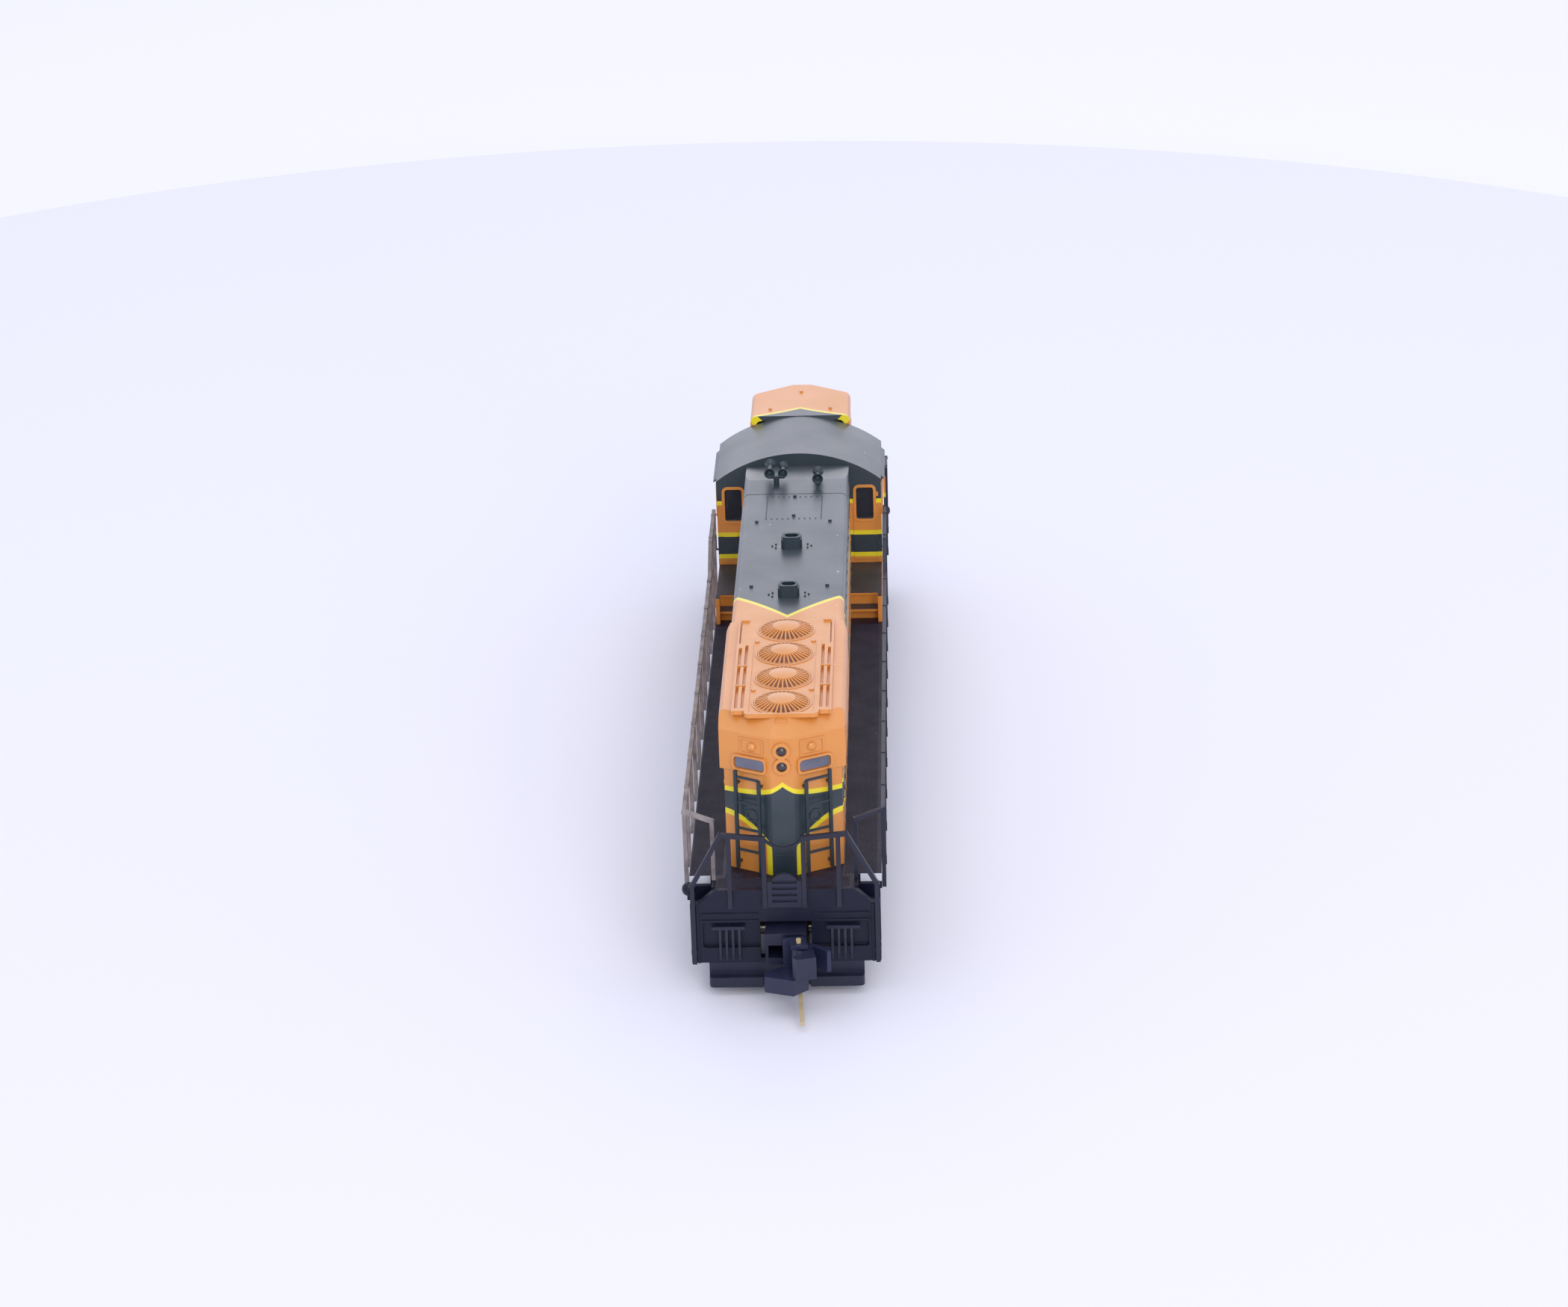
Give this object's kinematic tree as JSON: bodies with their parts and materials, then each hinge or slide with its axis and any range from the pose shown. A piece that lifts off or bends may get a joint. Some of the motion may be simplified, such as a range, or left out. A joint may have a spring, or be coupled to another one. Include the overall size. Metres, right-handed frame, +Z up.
{
  "type": "model diesel locomotive",
  "caption": "Small-scale model of a six-axle diesel road locomotive with a full gear drive, swivelling trucks and swinging knuckle couplers.",
  "frame": {"origin": "bottom centre of the bounding box, at the level of the wheel flange tips, midway between the truck pivots", "axes": "+Y towards the cab end, +X to the right-hand side, +Z up"},
  "size_m": [0.0208, 0.1246, 0.0302],
  "materials": {
    "cast_zinc": "dull as-cast",
    "screw_steel": "bright",
    "insulating_nylon": "satin",
    "circuit_laminate": "satin",
    "lamp_resin": "gloss",
    "motor_steel": "satin",
    "copper_winding": "satin",
    "brass": "turned",
    "universal_plastic": "satin",
    "worm_plastic": "satin",
    "hood_paint": "satin orange with dark green and yellow bands",
    "dark_green_paint": "satin",
    "black_plastic": "satin",
    "weathered_rail": "dusty",
    "window_glazing": "clear",
    "dark_lens": "gloss",
    "number_board_plastic": "gloss",
    "bronze_strip": "rolled",
    "gear_plastic": "satin",
    "wheel_nickel": "bright nickel plate",
    "coupler_plastic": "satin"
  },
  "bodies": {
    "frame": {"chassis_left": "cast_zinc", "chassis_right": "cast_zinc", "frame_screws": "screw_steel", "frame_insulators": "insulating_nylon", "circuit_board": "circuit_laminate", "lamps": "lamp_resin", "motor_can": "motor_steel", "motor_saddle": "insulating_nylon", "worm_bearings": "brass", "long_hood": "hood_paint", "cab": "hood_paint", "cab_base": "hood_paint", "short_hood": "hood_paint", "walkway": "black_plastic", "fuel_tank": "black_plastic", "air_reservoirs": "black_plastic", "cab_glazing": "window_glazing", "number_boards": "number_board_plastic", "headlight_lenses": "dark_lens", "fan_deck": "hood_paint", "radiator_fans": "hood_paint", "exhaust_stacks": "dark_green_paint", "horns": "dark_green_paint", "handrail_left": "weathered_rail", "handrail_right": "black_plastic", "handrail_rear": "black_plastic", "handrail_front": "black_plastic", "hood_ladders": "dark_green_paint", "mu_hoses": "black_plastic", "drop_steps": "black_plastic", "coupler_boxes": "black_plastic", "snow_plows": "black_plastic"},
    "driveline": {"motor_armature": "copper_winding", "motor_shaft": "motor_steel", "flywheels": "brass", "drive_shafts": "universal_plastic", "worms": "worm_plastic"},
    "front_truck": {"truck_gearcase_front": "black_plastic", "truck_sideframes_front": "black_plastic", "truck_contacts_front": "bronze_strip"},
    "front_worm_gear": {"worm_gear_front": "gear_plastic"},
    "front_idler_a": {"idler_gear_front_a": "gear_plastic"},
    "front_idler_b": {"idler_gear_front_b": "gear_plastic"},
    "front_wheelset_1": {"wheelset_front_1": "wheel_nickel"},
    "front_wheelset_2": {"wheelset_front_2": "wheel_nickel"},
    "front_wheelset_3": {"wheelset_front_3": "wheel_nickel"},
    "front_coupler": {"coupler_head_front": "coupler_plastic"},
    "front_knuckle": {"coupler_knuckle_front": "coupler_plastic"},
    "rear_truck": {"truck_gearcase_rear": "black_plastic", "truck_sideframes_rear": "black_plastic", "truck_contacts_rear": "bronze_strip"},
    "rear_worm_gear": {"worm_gear_rear": "gear_plastic"},
    "rear_idler_a": {"idler_gear_rear_a": "gear_plastic"},
    "rear_idler_b": {"idler_gear_rear_b": "gear_plastic"},
    "rear_wheelset_1": {"wheelset_rear_1": "wheel_nickel"},
    "rear_wheelset_2": {"wheelset_rear_2": "wheel_nickel"},
    "rear_wheelset_3": {"wheelset_rear_3": "wheel_nickel"},
    "rear_coupler": {"coupler_head_rear": "coupler_plastic"},
    "rear_knuckle": {"coupler_knuckle_rear": "coupler_plastic"}
  },
  "joints": [
    {"name": "motor_spin", "type": "hinge", "parent": "frame", "child": "driveline", "pos_m": [0, 0, 0.01766], "axis": [0, 1, 0], "continuous": true},
    {"name": "front_truck_swivel", "type": "hinge", "parent": "frame", "child": "front_truck", "pos_m": [0, 0.03335, 0.0098], "axis": [0, 0, 1], "range_deg": [-8, 8]},
    {"name": "front_worm_gear_spin", "type": "hinge", "parent": "front_truck", "child": "front_worm_gear", "pos_m": [0, 0.03335, 0.01336], "axis": [1, 0, 0], "continuous": true},
    {"name": "front_idler_a_spin", "type": "hinge", "parent": "front_truck", "child": "front_idler_a", "pos_m": [0, 0.02687, 0.0077], "axis": [1, 0, 0], "continuous": true},
    {"name": "front_idler_b_spin", "type": "hinge", "parent": "front_truck", "child": "front_idler_b", "pos_m": [0, 0.03982, 0.0077], "axis": [1, 0, 0], "continuous": true},
    {"name": "front_wheelset_1_spin", "type": "hinge", "parent": "front_truck", "child": "front_wheelset_1", "pos_m": [0, 0.0463, 0.00373], "axis": [1, 0, 0], "continuous": true},
    {"name": "front_wheelset_2_spin", "type": "hinge", "parent": "front_truck", "child": "front_wheelset_2", "pos_m": [0, 0.03335, 0.00373], "axis": [1, 0, 0], "continuous": true},
    {"name": "front_wheelset_3_spin", "type": "hinge", "parent": "front_truck", "child": "front_wheelset_3", "pos_m": [0, 0.0204, 0.00373], "axis": [1, 0, 0], "continuous": true},
    {"name": "front_coupler_swing", "type": "hinge", "parent": "frame", "child": "front_coupler", "pos_m": [0, 0.0515, 0.00685], "axis": [0, 0, 1], "range_deg": [-22, 2]},
    {"name": "front_knuckle_open", "type": "hinge", "parent": "front_coupler", "child": "front_knuckle", "pos_m": [-0.00137, 0.0571, 0.0055], "axis": [0, 0, 1], "range_deg": [0, 20], "stiffness_Nm_per_rad": 0.0002, "springref_deg": -5.73},
    {"name": "rear_truck_swivel", "type": "hinge", "parent": "frame", "child": "rear_truck", "pos_m": [0, -0.03335, 0.0098], "axis": [0, 0, 1], "range_deg": [-8, 8]},
    {"name": "rear_worm_gear_spin", "type": "hinge", "parent": "rear_truck", "child": "rear_worm_gear", "pos_m": [0, -0.03335, 0.01336], "axis": [1, 0, 0], "continuous": true},
    {"name": "rear_idler_a_spin", "type": "hinge", "parent": "rear_truck", "child": "rear_idler_a", "pos_m": [0, -0.03982, 0.0077], "axis": [1, 0, 0], "continuous": true},
    {"name": "rear_idler_b_spin", "type": "hinge", "parent": "rear_truck", "child": "rear_idler_b", "pos_m": [0, -0.02687, 0.0077], "axis": [1, 0, 0], "continuous": true},
    {"name": "rear_wheelset_1_spin", "type": "hinge", "parent": "rear_truck", "child": "rear_wheelset_1", "pos_m": [0, -0.0204, 0.00373], "axis": [1, 0, 0], "continuous": true},
    {"name": "rear_wheelset_2_spin", "type": "hinge", "parent": "rear_truck", "child": "rear_wheelset_2", "pos_m": [0, -0.03335, 0.00373], "axis": [1, 0, 0], "continuous": true},
    {"name": "rear_wheelset_3_spin", "type": "hinge", "parent": "rear_truck", "child": "rear_wheelset_3", "pos_m": [0, -0.0463, 0.00373], "axis": [1, 0, 0], "continuous": true},
    {"name": "rear_coupler_swing", "type": "hinge", "parent": "frame", "child": "rear_coupler", "pos_m": [0, -0.0515, 0.00685], "axis": [0, 0, 1], "range_deg": [-22, 2]},
    {"name": "rear_knuckle_open", "type": "hinge", "parent": "rear_coupler", "child": "rear_knuckle", "pos_m": [0.00137, -0.0571, 0.0055], "axis": [0, 0, 1], "range_deg": [0, 20], "stiffness_Nm_per_rad": 0.0002, "springref_deg": -5.73}
  ],
  "couplings": [
    {"joint": "front_worm_gear_spin", "follows": "motor_spin", "ratio": -0.066667},
    {"joint": "front_idler_a_spin", "follows": "motor_spin", "ratio": 0.035714},
    {"joint": "front_idler_b_spin", "follows": "motor_spin", "ratio": 0.035714},
    {"joint": "front_wheelset_1_spin", "follows": "motor_spin", "ratio": -0.1},
    {"joint": "front_wheelset_2_spin", "follows": "motor_spin", "ratio": -0.1},
    {"joint": "front_wheelset_3_spin", "follows": "motor_spin", "ratio": -0.1},
    {"joint": "rear_worm_gear_spin", "follows": "motor_spin", "ratio": -0.066667},
    {"joint": "rear_idler_a_spin", "follows": "motor_spin", "ratio": 0.035714},
    {"joint": "rear_idler_b_spin", "follows": "motor_spin", "ratio": 0.035714},
    {"joint": "rear_wheelset_1_spin", "follows": "motor_spin", "ratio": -0.1},
    {"joint": "rear_wheelset_2_spin", "follows": "motor_spin", "ratio": -0.1},
    {"joint": "rear_wheelset_3_spin", "follows": "motor_spin", "ratio": -0.1}
  ]
}
